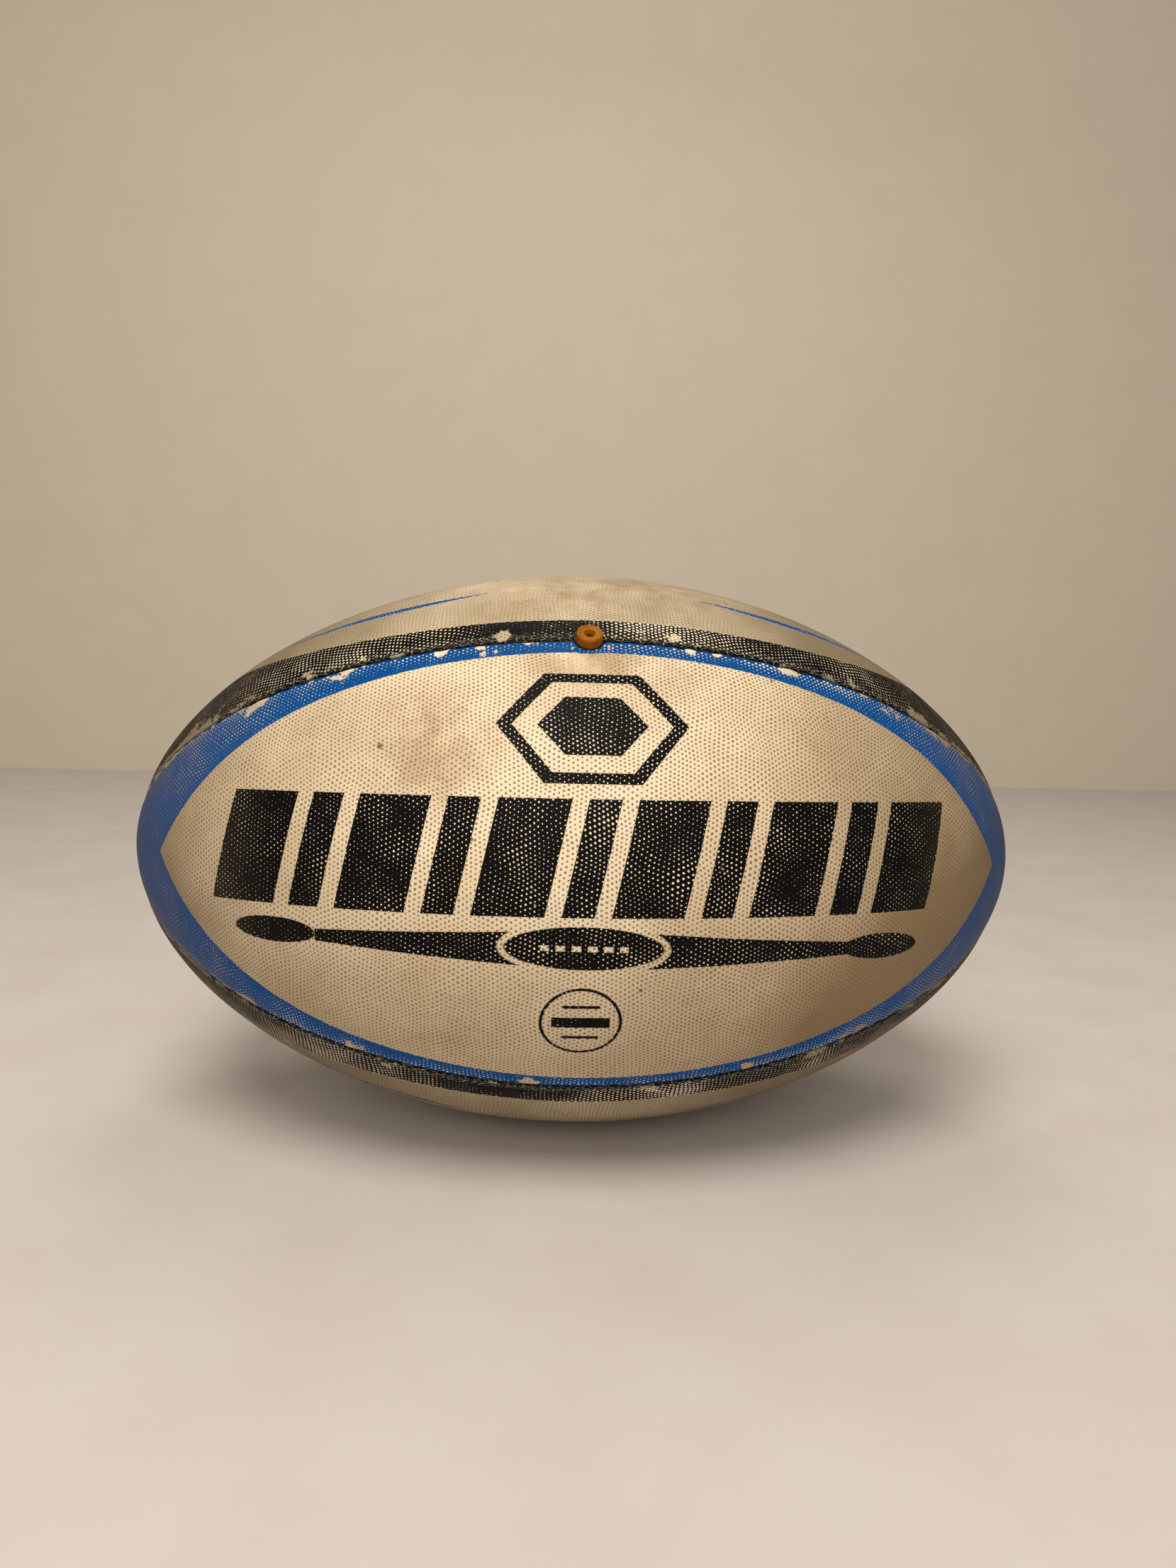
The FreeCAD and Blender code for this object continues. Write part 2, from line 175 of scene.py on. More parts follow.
class PanelGrid:
    """Where the points of a panel's cover lie, and the faces between them, for all four panels.

    The outer points are in columns from seam to seam, sorted by their keys. fold is how far a point is
    below the surface on the rolled edge, and pimple is 1 in the middle of a pimple.
    """

    def __init__(self, outline):
        half_pitch = PITCH / 2
        column_step = half_pitch * math.sqrt(3) / 2
        clear_of_fold = 0.35 * half_pitch
        left_half = outline.distance[: len(outline.distance) // 2]
        first_column = left_half[np.searchsorted(outline.half_panel(left_half), FIRST_COLUMN_WIDTH)]
        count = int(-first_column / column_step)
        self.u, self.v, self.fold, self.pimple, self.columns, self.keys = [], [], [], [], [], []
        alphas = np.linspace(0, math.pi / 2, FOLD_STEPS)
        drop = 1 - np.cos(alphas)
        start = 0
        for number in range(-count, count + 1):
            u = number * column_step
            half = float(outline.half_panel(u))
            radius = min(FOLD_RADIUS, 0.45 * half)
            flat = half - radius
            shift = 0.5 if number % 2 else 0.0
            most = int(max(flat - clear_of_fold, 0) / half_pitch + 1)
            steps = np.arange(-most, most + 1) + shift
            steps = steps[np.abs(steps) * half_pitch < flat - clear_of_fold]
            inner = steps * half_pitch
            on_pimple = (number % 2 == 0) & ((steps + number / 2).astype(int) % 2 == 0)
            rows = half - radius * (1 - np.sin(alphas))
            edge_keys = flat + radius * alphas
            self.u.append(np.full(len(inner) + 2 * FOLD_STEPS, u))
            self.v.append(np.concatenate([-rows[::-1], inner, rows]))
            self.fold.append(np.concatenate([drop[::-1], 0 * inner, drop]) * radius)
            self.pimple.append(np.concatenate([0 * rows, on_pimple, 0 * rows]).astype(float))
            self.keys.append(np.concatenate([-edge_keys[::-1], inner, edge_keys]))
            self.columns.append(np.arange(start, start + len(self.keys[-1])))
            start += len(self.keys[-1])
        neighbours = zip(self.columns, self.keys, self.columns[1:], self.keys[1:])
        self.outer_faces = np.concatenate([zip_rows(*pair) for pair in neighbours])
        self.column_u = np.array([u[0] for u in self.u])
        self.u = np.concatenate(self.u)
        self.v = np.concatenate(self.v)
        self.fold = np.concatenate(self.fold)
        self.pimple = np.concatenate(self.pimple)
        self.outer_count = start
        self.add_inside(outline)

    def add_inside(self, outline):
        """The turned-in edges and the inner face, in rows that run along the ball from seam to seam.

        turned_in has the rows of one edge, as (distance from the seam, depth). A row's share is its
        angle from the mid-line, as a part of the angle from there to the seam.
        """
        end = self.column_u[-1]
        row_u = np.linspace(-end, end, int(2 * end / INNER_STEP))
        turned_in = [
            (SEAM_GAP, FOLD_RADIUS + 1),
            (SEAM_GAP, TURN_DEPTH),
            (RUBBER, TURN_DEPTH),
            (RUBBER, 1.5 * RUBBER),
        ]
        half = outline.half_panel(row_u)
        rows = []
        for distance, depth in turned_in:
            radius = outline.radius(row_u) - depth * outline.at(row_u, outline.normal_r)
            from_seam = np.minimum(distance / (np.maximum(radius, 0.05) * HALF_PANEL), 0.6)
            rows.append((1 - from_seam, np.minimum(depth, FOLD_RADIUS + 0.4 * half)))
        first_share = rows[-1][0]
        for fraction in np.linspace(1, -1, INNER_ROWS):
            rows.append((first_share * fraction * 0.985, np.full(len(half), RUBBER)))
        rows += [(-share, depth) for share, depth in reversed(rows[: len(turned_in)])]
        size = len(row_u)
        self.inner_share = np.concatenate([share for share, _ in rows])
        self.inner_depth = np.concatenate([depth for _, depth in rows])
        self.inner_u = np.tile(row_u, len(rows))
        index = self.outer_count + np.arange(len(rows) * size).reshape(len(rows), size)
        faces = []
        for upper, lower in zip(index, index[1:]):
            a, b, c, d = upper[:-1], upper[1:], lower[1:], lower[:-1]
            faces += [np.stack([a, b, c], 1), np.stack([a, c, d], 1)]
        last = np.array([column[-1] for column in self.columns])
        first = np.array([column[0] for column in self.columns])
        faces.append(zip_rows(last, self.column_u, index[0], row_u)[:, ::-1])
        faces.append(zip_rows(index[-1], row_u, first, self.column_u)[:, ::-1])
        left_ring = np.concatenate([self.columns[0], index[:, 0]])
        right_ring = np.concatenate([self.columns[-1], index[:, -1]])
        faces.append(fan(left_ring))
        faces.append(fan(right_ring)[:, ::-1])
        self.inner_faces = np.concatenate(faces)


def seam_wave(seam, u):
    """How far a seam wanders sideways between its stitches, for both panels that meet there."""
    rng = np.random.default_rng(SEAM_SEED + seam)
    swing = 0.6 + 0.4 * smooth_noise(rng, u, 0 * u, 70)
    phase = 2 * math.pi * u / STITCH_PITCH + 2 * smooth_noise(rng, u, 0 * u, 45)
    return SEAM_WAVE * swing * np.sin(phase)


def moved_points(rng, outline, grid):
    """The grid's points, moved a little off their regular places except beside the seams."""
    u, v = grid.u.copy(), grid.v.copy()
    edge = outline.half_panel(u) - np.abs(v)
    free = np.clip((edge - 2.2) / 4, 0, 1)
    u += free * (DRIFT * smooth_noise(rng, u, v, DRIFT_LENGTH) + rng.normal(0, JITTER, len(u)))
    v += free * (DRIFT * smooth_noise(rng, u, v, DRIFT_LENGTH) + rng.normal(0, JITTER, len(u)))
    return u, v


def hole_profile(x, half_length):
    """1 beside the valve's middle and 0 beyond the ends of its hole."""
    return np.clip(1 - (x / half_length) ** 2, 0, 1) ** HOLE_ROUNDNESS


def surface_depth(rng, grid, u, v, edge):
    """How far each outer point lies below the CAD surface: pimples, rolled edges and dips."""
    relief = RELIEF * np.clip((edge - 0.6) / 1.2, 0, 1)
    depth = UNDER_CAD_SURFACE + grid.fold + relief * (1 - grid.pimple)
    depth += SEAM_DIP * np.exp(-edge / SEAM_DIP_REACH)
    for side in (-1, 1):
        on_side = np.sign(v) == side
        phase = 2 * math.pi * u / STITCH_PITCH + 1.5 * smooth_noise(rng, u, 0 * u, 60)
        rhythm = 0.5 + 0.5 * np.cos(phase)
        depth += on_side * STITCH_DIP * np.exp(-np.maximum(edge, 0) / STITCH_DIP_REACH) * rhythm
    depth += BROAD_DIP * np.clip(0.5 + 0.5 * smooth_noise(rng, u, v, BROAD_DIP_LENGTH), 0, 2)
    return depth


def valve_creases(rng, u, v, from_valve_x, from_seam, on_valve_side):
    """Depths of the creases that run outwards from the valve."""
    from_valve = np.hypot(from_valve_x, from_seam)
    bearing = np.arctan2(from_seam, from_valve_x)
    near = np.exp(-((from_valve / CREASE_REACH) ** 2)) * on_valve_side
    phase = CREASES_PER_TURN * bearing + 2.2 * smooth_noise(rng, u, v, 14)
    return CREASE_DEPTH * near * np.clip(np.sin(phase), 0, 1) ** 2


def clear_valve(outline, grid, seam_side):
    """Angles of the inner points, with the turned-in edge opened round the valve."""
    x = outline.at(grid.inner_u, outline.x) - VALVE_ALONG
    opening = (HOLE_RADIUS + 0.4) * hole_profile(x, 1.3 * HOLE_HALF_LENGTH)
    opening /= outline.radius(grid.inner_u)
    by_seam = np.clip(grid.inner_share * seam_side * 4 - 3, 0, 1)
    return grid.inner_share * HALF_PANEL - seam_side * opening * by_seam


def write_panel(name, points, faces, part_of_face, fields, materials):
    """The panel's mesh object, with one value of each field at every point."""
    mesh = bpy.data.meshes.new(f"panel_{name}")
    mesh.vertices.add(len(points))
    mesh.vertices.foreach_set("co", points.astype(np.float32).ravel())
    mesh.loops.add(3 * len(faces))
    mesh.loops.foreach_set("vertex_index", faces.astype(np.int32).ravel())
    mesh.polygons.add(len(faces))
    mesh.polygons.foreach_set("loop_start", np.arange(0, 3 * len(faces), 3, dtype=np.int32))
    mesh.polygons.foreach_set("use_smooth", np.ones(len(faces), bool))
    for material in materials:
        mesh.materials.append(material)
    mesh.polygons.foreach_set("material_index", part_of_face.astype(np.int32))
    for field, values in fields.items():
        layer = mesh.attributes.new(field, "FLOAT", "POINT")
        layer.data.foreach_set("value", values.astype(np.float32))
    mesh.update()
    mesh.validate()
    panel = bpy.data.objects.new(f"panel_{name}", mesh)
    bpy.context.scene.collection.objects.link(panel)
    return panel


def build_panel(name, outline, grid, material, inside_material):
    """The rubber cover of one panel, as a closed shell with pimples and turned-in edges."""
    mid_angle = PANEL_ANGLES[name]
    number = list(PANEL_ANGLES).index(name)
    rng = np.random.default_rng(PANEL_SEED + number)
    u, v = moved_points(rng, outline, grid)
    x = outline.at(u, outline.x)
    half = outline.half_panel(u)
    edge = half - np.abs(v)
    seam_side = VALVE_SEAM_SIDE.get(name, 0)
    on_valve_side = (np.sign(v) == seam_side) & (seam_side != 0)
    fall = np.clip(1 - edge / HOLE_SPREAD, 0, 1) ** 2
    at_hole = HOLE_RADIUS * hole_profile(x - VALVE_ALONG, HOLE_HALF_LENGTH) * fall * on_valve_side
    pimple_size = grid.pimple * rng.normal(1, PIMPLE_SPREAD, len(u))
    depth = surface_depth(rng, grid, u, v, edge)
    theta = np.sign(v) * (HALF_PANEL - (np.maximum(edge, SEAM_GAP) + at_hole) / outline.radius(u))
    wave = np.where(v > 0, seam_wave(number, u), seam_wave((number - 1) % len(PANEL_ANGLES), u))
    theta += wave * np.exp(-edge / 2.5) * np.clip(half / 12 - 0.3, 0, 1) / outline.radius(u)
    inner_theta = grid.inner_share * HALF_PANEL
    if seam_side:
        depth += valve_creases(rng, u, v, x - VALVE_ALONG, edge + at_hole, on_valve_side)
        inner_theta = clear_valve(outline, grid, seam_side)
    outer = outline.place(u, theta, depth, mid_angle)
    inner = outline.place(grid.inner_u, inner_theta, grid.inner_depth, mid_angle)
    # edge counts from the seam and lip from the rubber's own rim, which draws back at the valve
    outer_fields = {
        "along": x,
        "across": theta * outline.radius(u),
        "edge": np.maximum(edge, 0) + 0.7 * at_hole,
        "lip": np.maximum(edge, 0),
        "pimple": pimple_size,
    }
    unused = np.zeros(len(inner))
    panel = write_panel(
        name,
        np.concatenate([outer, inner]) * MM,
        np.concatenate([grid.outer_faces, grid.inner_faces]),
        np.repeat([0, 1], [len(grid.outer_faces), len(grid.inner_faces)]),
        {field: np.concatenate([values, unused]) for field, values in outer_fields.items()},
        [material, inside_material],
    )
    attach(panel, "ball")
    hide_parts(f"cover_{name}")


# ---------------------------------------------------------------- shader arithmetic


class Value:
    """One number of a shader, so that a formula in Python builds its math nodes."""

    def __init__(self, tree, socket):
        self.tree = tree
        self.socket = socket

    def math(self, operation, *others, clamp=False):
        node = self.tree.nodes.new("ShaderNodeMath")
        node.operation = operation
        node.use_clamp = clamp
        for pin, item in zip(node.inputs, (self, *others)):
            if isinstance(item, Value):
                self.tree.links.new(item.socket, pin)
            else:
                pin.default_value = item
        return Value(self.tree, node.outputs[0])

    def __add__(self, other):
        return self.math("ADD", other)

    def __sub__(self, other):
        return self.math("SUBTRACT", other)

    def __mul__(self, other):
        return self.math("MULTIPLY", other)

    def __truediv__(self, other):
        return self.math("DIVIDE", other)

    def __neg__(self):
        return self.math("MULTIPLY", -1.0)

    def __abs__(self):
        return self.math("ABSOLUTE")

    __radd__ = __add__
    __rmul__ = __mul__

    def __rsub__(self, other):
        return -self + other

    def __pow__(self, other):
        return self.math("POWER", other)

    def lower(self, other):
        return self.math("MINIMUM", other)

    def higher(self, other):
        return self.math("MAXIMUM", other)

    def modulo(self, other):
        return self.math("FLOORED_MODULO", other)

    def root(self):
        return self.math("SQRT")

    def sign(self):
        return self.math("SIGN")

    def ramp(self, start, end):
        """0 at start, 1 at end, straight in between and level beyond."""
        return ((self - start) / (end - start)).math("ADD", 0.0, clamp=True)


class Paint:
    """A material's node tree, with short ways to add what these materials use."""

    def __init__(self, name):
        self.material = bpy.data.materials.new(name)
        self.material.use_nodes = True
        self.tree = self.material.node_tree
        self.shader = self.tree.nodes["Principled BSDF"]

    def field(self, name):
        node = self.tree.nodes.new("ShaderNodeAttribute")
        node.attribute_name = name
        return Value(self.tree, node.outputs["Fac"])

    def position(self):
        return self.tree.nodes.new("ShaderNodeTexCoord").outputs["Object"]

    def noise(self, size, detail=3.0, roughness=0.55, offset=0.0):
        """Noise whose features are about size millimetres, mostly between 0.3 and 0.7."""
        node = self.tree.nodes.new("ShaderNodeTexNoise")
        node.inputs["Scale"].default_value = 1 / (size * MM)
        node.inputs["Detail"].default_value = detail
        node.inputs["Roughness"].default_value = roughness
        shifted = self.tree.nodes.new("ShaderNodeVectorMath")
        shifted.inputs[1].default_value = (offset, offset, offset)
        self.tree.links.new(self.position(), shifted.inputs[0])
        self.tree.links.new(shifted.outputs[0], node.inputs["Vector"])
        return Value(self.tree, node.outputs["Fac"])

    def cells_at(self, x, y):
        """Distance to the nearest border of a Voronoi pattern over two values, in cells."""
        place = self.tree.nodes.new("ShaderNodeCombineXYZ")
        self.tree.links.new(x.socket, place.inputs[0])
        self.tree.links.new(y.socket, place.inputs[1])
        node = self.tree.nodes.new("ShaderNodeTexVoronoi")
        node.voronoi_dimensions = "2D"
        node.feature = "DISTANCE_TO_EDGE"
        node.inputs["Scale"].default_value = 1.0
        self.tree.links.new(place.outputs[0], node.inputs["Vector"])
        return Value(self.tree, node.outputs["Distance"])

    def mix(self, share, first, second):
        """The first colour where share is 0 and the second where it is 1."""
        node = self.tree.nodes.new("ShaderNodeMix")
        node.data_type = "RGBA"
        node.clamp_factor = True
        pins = {pin.identifier: pin for pin in node.inputs}
        outs = {pin.identifier: pin for pin in node.outputs}
        self.tree.links.new(share.socket, pins["Factor_Float"])
        for pin, colour in ((pins["A_Color"], first), (pins["B_Color"], second)):
            if isinstance(colour, tuple):
                pin.default_value = linear(colour)
            else:
                self.tree.links.new(colour, pin)
        return outs["Result_Color"]

    def set_pin(self, pin, item):
        """Gives an input a plain number, or links it to a Value."""
        if isinstance(item, Value):
            self.tree.links.new(item.socket, pin)
        else:
            pin.default_value = item

    def finish(self, colour, roughness, height, height_mm, specular=0.5):
        """Joins colour, roughness, bump and specular level to the shader, and returns the material."""
        self.tree.links.new(colour, self.shader.inputs["Base Color"])
        self.set_pin(self.shader.inputs["Roughness"], roughness)
        self.set_pin(self.shader.inputs["Specular IOR Level"], specular)
        bump = self.tree.nodes.new("ShaderNodeBump")
        bump.inputs["Distance"].default_value = height_mm * MM
        self.tree.links.new(height.socket, bump.inputs["Height"])
        self.tree.links.new(bump.outputs["Normal"], self.shader.inputs["Normal"])
        return self.material


def linear(colour):
    """A colour given as 0 to 255 for a screen, as the linear one that shaders use."""
    shares = [part / 255 for part in colour]
    return tuple(s / 12.92 if s <= 0.04045 else ((s + 0.055) / 1.055) ** 2.4 for s in shares) + (1.0,)


# ---------------------------------------------------------------- prints

# Each shape is the distance inside its outline, in millimetres, and is below 0 outside.


def box(x, y, centre_x, centre_y, half_x, half_y):
    return (half_x - abs(x - centre_x)).lower(half_y - abs(y - centre_y))


def oval(x, y, centre_x, centre_y, half_x, half_y):
    far = (((x - centre_x) / half_x) ** 2 + ((y - centre_y) / half_y) ** 2).root()
    return (1 - far) * min(half_x, half_y)


def hexagon(x, y, centre_x, centre_y, half_x, half_y):
    """A hexagon with flat edges above and below and a corner at each end."""
    up = abs(y - centre_y)
    slopes = (1 - abs(x - centre_x) / half_x - up / (2 * half_y)) * half_x
    return slopes.lower(half_y - up)


def slanted_blocks(x, y):
    """A row of slanted blocks, wide and narrow in turn, with a wide one at each end."""
    centre_x, centre_y, half_y = -1.5, 4.5, 16.2
    wide, narrow, gap, slant = 20.0, 9.0, 4.6, 0.22
    count_wide = 6
    period = wide + narrow + 2 * gap
    row_length = count_wide * period - narrow - 2 * gap
    along = x - slant * (y - centre_y) - (centre_x - row_length / 2)
    place = along.modulo(period)
    in_wide = wide / 2 - abs(place - wide / 2)
    in_narrow = narrow / 2 - abs(place - (wide + gap + narrow / 2))
    within = along.lower(row_length - along)
    return in_wide.higher(in_narrow).lower(within).lower(half_y - abs(y - centre_y))


def nested_hexagons(x, y):
    """A hexagon outline with a smaller solid hexagon in it."""
    centre_x, centre_y = -1.5, 42.0
    outer = hexagon(x, y, centre_x, centre_y, 27, 17.2)
    ring = outer.lower(-hexagon(x, y, centre_x, centre_y, 22.5, 14))
    core = hexagon(x, y, centre_x, centre_y, 15.5, 9)
    return ring.higher(core)


def bar_and_ovals(x, y):
    """A bar that narrows outwards, with a large oval in a gap at its middle and one at each end."""
    centre_x, centre_y = -3, 0.5
    level = y + 21 + 0.014 * x
    half = 4.6 - 0.055 * (abs(x) - 27)
    gap = oval(x, level, centre_x, centre_y, 23.8, 8.2)
    bar = (half - abs(level)).lower(78 - abs(x)).lower(-gap)
    dash_pitch = 4.4
    dash_place = (x - centre_x).modulo(dash_pitch)
    dashes = box(dash_place, level, dash_pitch / 2, centre_y, 1.3, 0.8).lower(12 - abs(x - centre_x))
    middle = oval(x, level, centre_x, centre_y, 22, 6.3).lower(-dashes)
    ends = oval(x, level, -90.5, 0.3, 12.6, 3.9).higher(oval(x, level, 85.5, 0.0, 13, 4.1))
    return bar.higher(middle).higher(ends)


def ring_stamp(x, y):
    """A thin ring round a short bar with a line above and below it."""
    centre_x, centre_y = -3.2, -44.0
    far = ((x - centre_x) ** 2 + (y - centre_y) ** 2).root()
    ring = 0.45 - abs(far - 11.2)
    bar = box(x, y, centre_x, centre_y, 8.2, 1.8)
    lines = box(x, abs(y - centre_y), centre_x, 5.4, 5.2, 0.5)
    return ring.higher(bar).higher(lines)


def inked(shape):
    """1 inside a printed shape and 0 outside, with a slightly soft outline."""
    return shape.ramp(-0.10, 0.10)


def front_print(along, across, edge):
    """The black print, and the blue border that follows the seams and widens towards the tips."""
    black = slanted_blocks(along, across)
    black = black.higher(nested_hexagons(along, across))
    black = black.higher(bar_and_ovals(along, across))
    black = black.higher(ring_stamp(along, across))
    width = 5.6 + 3.0 * (abs(along) / 70) ** 2 + 9 * (abs(along) / 118) ** 6
    blue = width - edge
    return black, blue


def top_print(along, across, edge):
    """The black border along the seams, and two thin blue stripes on each half of the panel."""
    black = 9.6 + 6.0 * (abs(along) / 87) ** 4 - edge
    stripe_at = 31 - 17 * ((abs(along) - 40) / 57) ** 2
    thickness = 1.6 * (1 - ((abs(along) - 66) / 34) ** 2)
    blue = thickness - abs(abs(across) - (stripe_at + 9))
    return black, blue


# ---------------------------------------------------------------- materials


CREAM = (236, 219, 190)
CREAM_WARM = (224, 204, 172)
TAN_TOP = (122, 100, 70)
WORN_TOP = (226, 212, 186)
STAIN = (158, 126, 84)
BLACK_INK = (12, 11, 11)
BLUE_INK = (4, 72, 136)
CRACK = (206, 194, 168)
# the next three colours are grime, and they are also laid on as painted shade
HANDLED_DIRT_AND_SHADE = (140, 118, 88)
DUST_AND_SHADE = (128, 116, 92)
TIP_GRIME_AND_SHADE = (84, 76, 62)
SPECK = (66, 50, 32)

# Round marks on a panel, as (along, place, radius) and a strength where it isn't 1. For specks, stains
# and flat_tops, whose pimples have no dark tops, the place is across. For the others it is the distance
# from a seam, below 0 by the panel's lower seam. scuffs have lost their ink, dotty places have larger
# bare pimple tops and solid places have smaller ones.
FRONT_MARKS = {
    "specks": [
        (-60.5, 34.5, 1.0), (13, -33, 0.7), (-34, 9, 0.6), (-28.5, -7, 0.6), (52, 60, 0.6),
        (-71, -18, 0.6),
    ],
    "stains": [
        (-2, 66, 22, 0.9), (-46, 34, 22, 0.8), (-78, 38, 18, 0.4), (20, 58, 16, 0.4),
        (-40, -52, 20, 0.4),
    ],
    "flat_tops": [(-4, 62, 9)],
    "scuffs": [
        (-33.5, 1.4, 2.2), (-33.0, 4.4, 2.0), (-45, 2.2, 3.4), (-6, 3.4, 2.2), (-75, 1.4, 5.5),
        (-103, 1.6, 6), (28, 1.2, 3), (36, 0.8, 2.6), (58, 2, 3), (92, 1.5, 5),
        (112, 2, 5), (-70, -2, 5), (-18, -1.5, 4), (48, -2, 4), (84, -1.5, 5),
    ],
    "dotty": [
        (-88, 4, 22, 0.5), (-120, 6, 24, 0.6), (76, 4, 22, 0.5), (112, 6, 26, 0.6),
        (-88, -3, 24, 0.5), (-118, -6, 24, 0.6), (84, -3, 24, 0.6), (116, -6, 24, 0.6),
        (0, 45, 20, 0.2),
    ],
    "solid": [(-16, 4, 14, 0.6), (-3, -29, 20, 0.7)],
}
TOP_MARKS = {
    "specks": [(-30, -22, 0.8), (44, -34, 0.7)],
    "stains": [(-12, -46, 34, 1.0), (14, -30, 40, 1.0), (-60, -20, 40, 0.5), (66, -20, 50, 1.0)],
    "flat_tops": [(-20, -18, 46), (40, -14, 44), (-75, 0, 30)],
    "scuffs": [
        (11, -6.2, 4.8), (6.5, -7.2, 3.0), (-27, -3.4, 2.6), (24, -3.6, 3.6), (32, -3.0, 3.0),
        (-67, -3.8, 2.6), (-86, -3.4, 3.4), (-104, -3.6, 3.4), (-123, -5, 8), (80, -2, 4),
        (104, -4, 5), (-60, 2, 5), (20, 3, 4), (72, 2, 5),
    ],
    "dotty": [
        (-88, -3, 26, 0.6), (-54, -6, 20, 0.9), (50, -6, 24, 0.3), (90, -2, 20, 0.2),
        (-90, 8, 44, 1.5), (20, 6, 44, 1.2), (90, 8, 44, 1.5),
    ],
    "solid": [
        (-22, -4, 17, 1.0), (-5, -4, 10, 1.0), (-112, -14, 26, 0.6), (60, -9, 26, 0.5),
        (104, -11, 30, 0.8),
    ],
}

# how a panel is soiled and shaded, in the colour given: a share everywhere, which is dust on the top
# panel and painted shade on the bottom one, and painted shade that grows towards the upper side or,
# where side is below 0, towards the lower
FRONT_SOIL_AND_SHADE = {"colour": HANDLED_DIRT_AND_SHADE, "everywhere": 0.0, "side": -1}
TOP_SOIL_AND_SHADE = {"colour": DUST_AND_SHADE, "everywhere": 0.46, "side": 0.5}


def near_any(places, along, other):
    """The strength of the strongest of some round marks at a point, each fading to 0 at its rim."""
    found = None
    for place_along, place_other, radius, *strength in places:
        far = (((along - place_along) / radius) ** 2 + ((other - place_other) / radius) ** 2).root()
        share = far.ramp(1.25, 0.35) * (strength[0] if strength else 1.0)
        found = share if found is None else found.higher(share)
    return found


class RubberPoint:
    """What a panel's shader knows of a point: its place, its pimple, and noises for dirt and wear."""

    def __init__(self, paint):
        self.along = paint.field("along")
        self.across = paint.field("across")
        self.edge = paint.field("edge")
        self.lip = paint.field("lip")
        self.pimple = paint.field("pimple")
        self.to_tip = abs(self.along)
        self.beside = self.edge * self.across.sign()
        self.wobble = (paint.noise(1.0, 2) - 0.5) * 0.3
        self.broad = paint.noise(45, 3, offset=3.1)
        self.patchy = paint.noise(11, 4, 0.6, offset=1.7)
        self.wear = paint.noise(5.5, 6, 0.66, offset=5.3)
        self.fine = paint.noise(0.5, 3)


def soiled_and_shaded_rubber(paint, at, marks, soil_and_shade):
    """The cream rubber with its stains, grime, painted shade, dark pimple tops and creases."""
    cream = paint.mix(at.broad.ramp(0.35, 0.65), CREAM, CREAM_WARM)
    stained = near_any(marks["stains"], at.along, at.across) * at.patchy.ramp(0.30, 0.62)
    blotches = at.patchy.ramp(0.55, 0.75) * at.broad.ramp(0.45, 0.6) * 0.4
    stained = stained.higher(blotches)
    cream = paint.mix(stained * 0.75, cream, STAIN)
    # painted shade in the grime colour: darker towards both tips, which have real grime too, towards
    # the right end and on one side of the mid-line; the share everywhere is dust on the top panel and
    # painted shade on the bottom one
    towards_tips = at.to_tip.ramp(45, 130) * 0.7
    painted_shade_right = at.along.ramp(0, 90) * 0.4
    painted_shade_side = (at.across * soil_and_shade["side"]).ramp(-12, 60) * 0.5
    dirt_and_shade = (towards_tips + painted_shade_right + painted_shade_side + soil_and_shade["everywhere"]) * (0.5 + at.broad)
    cream = paint.mix(dirt_and_shade, cream, soil_and_shade["colour"])
    top_size = 0.50 + (at.wear - 0.5) * 0.5 + at.along.ramp(-20, 80) * 0.08
    without_tops = near_any(marks["flat_tops"], at.along, at.across) * 0.8
    dark_top = (at.pimple + top_size).ramp(0.92, 1.04) * (1 - without_tops)
    cream = paint.mix(dark_top * 0.88, cream, TAN_TOP)
    crease_x = at.along / 9 + (at.patchy - 0.5) * 2
    crease_y = at.across / 5 + (at.wear - 0.5)
    creases = paint.cells_at(crease_x, crease_y).ramp(0.035, 0.01)
    return paint.mix(creases * stained * at.fine.ramp(0.35, 0.55) * 0.7, cream, HANDLED_DIRT_AND_SHADE)


def scuffed_ink(at, marks):
    """1 where patches of ink are gone: at the scuffs, and here and there beside the seams."""
    by_seam = at.edge.ramp(6.0, 1.0) * 0.07
    at_scuff = near_any(marks["scuffs"], at.along, at.beside) * 0.20
    by_tips = at.to_tip.ramp(90, 135) * at.edge.ramp(3.6, 1.0) * 0.22
    return (at.wear + by_seam + at_scuff + at.pimple * 0.05 + by_tips).ramp(0.70, 0.74)


def bare_tops(at, marks, blue, seam_wear):
    """1 on the pimple tops whose ink is rubbed off, and which are smaller well inside the blue ink."""
    marked = near_any(marks["dotty"], at.along, at.beside) * 0.26
    marked = marked - near_any(marks["solid"], at.along, at.beside) * 0.32
    by_seam = at.edge.ramp(6.0, 1.0) * seam_wear
    fresh = blue.ramp(6, 1) * inked(blue) * 0.13
    towards_tips = at.to_tip.ramp(25, 85) * 0.12
    top_size = 0.32 + (at.patchy - 0.5) * 0.9 + by_seam + marked - fresh - towards_tips
    return (at.pimple + top_size).ramp(0.94, 1.04)


